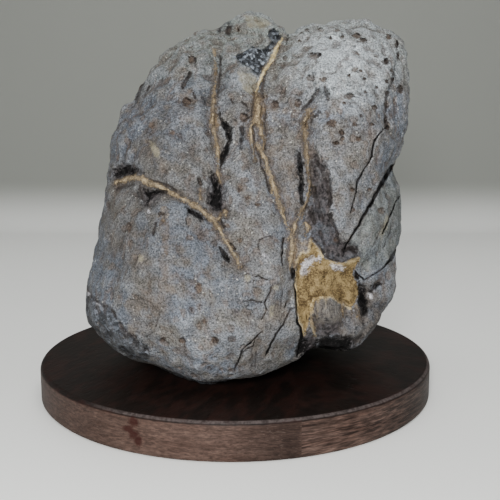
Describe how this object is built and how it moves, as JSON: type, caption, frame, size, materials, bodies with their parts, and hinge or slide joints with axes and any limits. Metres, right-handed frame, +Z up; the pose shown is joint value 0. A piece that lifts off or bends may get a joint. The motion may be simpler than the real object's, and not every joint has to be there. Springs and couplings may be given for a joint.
{
  "type": "viewing stone",
  "caption": "Upright natural viewing stone of dark weathered rock with raised ochre veins and a golden patch, standing on a plain round stained wooden base.",
  "frame": {"origin": "centre of the underside of the round base", "axes": "+Z up, -Y towards the viewing side of the stone, +X to that viewer's right"},
  "size_m": [0.12, 0.12, 0.1127],
  "materials": {
    "stone": "dull weathered dark grey volcanic rock, finely pitted, with ochre veins and a golden crust",
    "base_main_board": "dark reddish brown stained wood, thin satin finish, grain running front to back",
    "base_side_board": "dark reddish brown stained wood, thin satin finish, grain running aslant"
  },
  "bodies": {
    "root": {"stone": "stone", "base_main_board": "base_main_board", "base_side_board": "base_side_board"}
  },
  "joints": []
}
